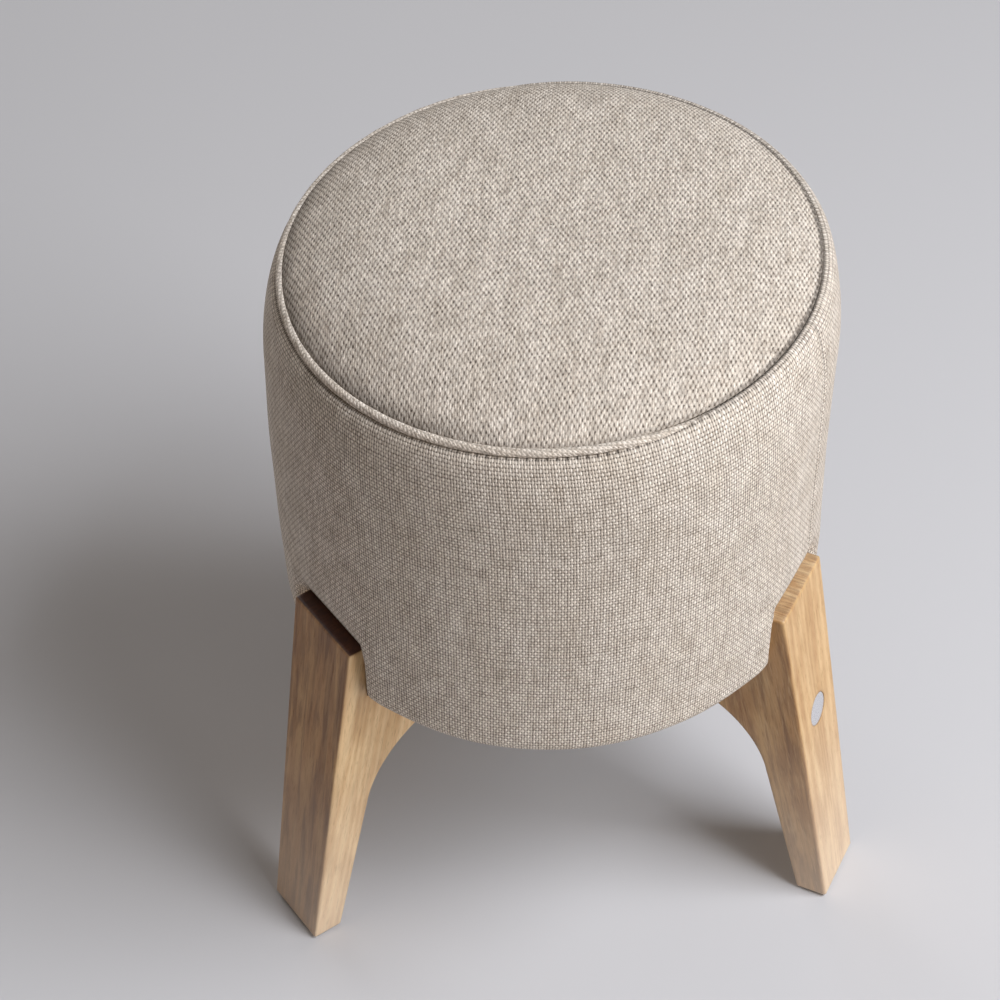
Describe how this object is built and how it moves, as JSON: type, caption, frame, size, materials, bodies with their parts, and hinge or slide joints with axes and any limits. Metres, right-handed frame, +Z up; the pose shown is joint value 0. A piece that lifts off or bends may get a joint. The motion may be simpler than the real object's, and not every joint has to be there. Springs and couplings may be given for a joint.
{
  "type": "upholstered stool",
  "caption": "Round linen-covered stool with a crowned, piped seat, its barrel drum standing in notches in splayed oak legs that curve in under it.",
  "frame": {"origin": "on the floor, under the middle of the drum", "axes": "+Z up along the drum's axis, -Y towards the front, between the left and right legs, +X to the right"},
  "size_m": [0.3516, 0.3455, 0.45],
  "materials": {
    "oak": "satin",
    "plywood": "matte",
    "softwood": "matte",
    "fibreboard": "matte",
    "linen": "matte",
    "foam": "matte",
    "cord": "matte",
    "dust_cloth": "matte",
    "felt": "matte",
    "badge_metal": "satin",
    "zinc_steel": "satin"
  },
  "bodies": {
    "root": {"leg_left": "oak", "leg_right": "oak", "leg_back": "oak", "badge_disc": "badge_metal", "foot_glides": "felt", "leg_bolts": "zinc_steel", "bolt_washers": "zinc_steel", "tee_nuts": "zinc_steel", "base_board": "plywood", "seat_board": "plywood", "drum_wall": "fibreboard", "drum_posts": "softwood", "base_screws": "zinc_steel", "seat_screws": "zinc_steel", "seat_foam": "foam", "side_foam": "foam", "cover_top": "linen", "cover_side": "linen", "piping": "linen", "piping_cord": "cord", "dust_cover": "dust_cloth", "cover_staples": "zinc_steel"}
  },
  "joints": []
}
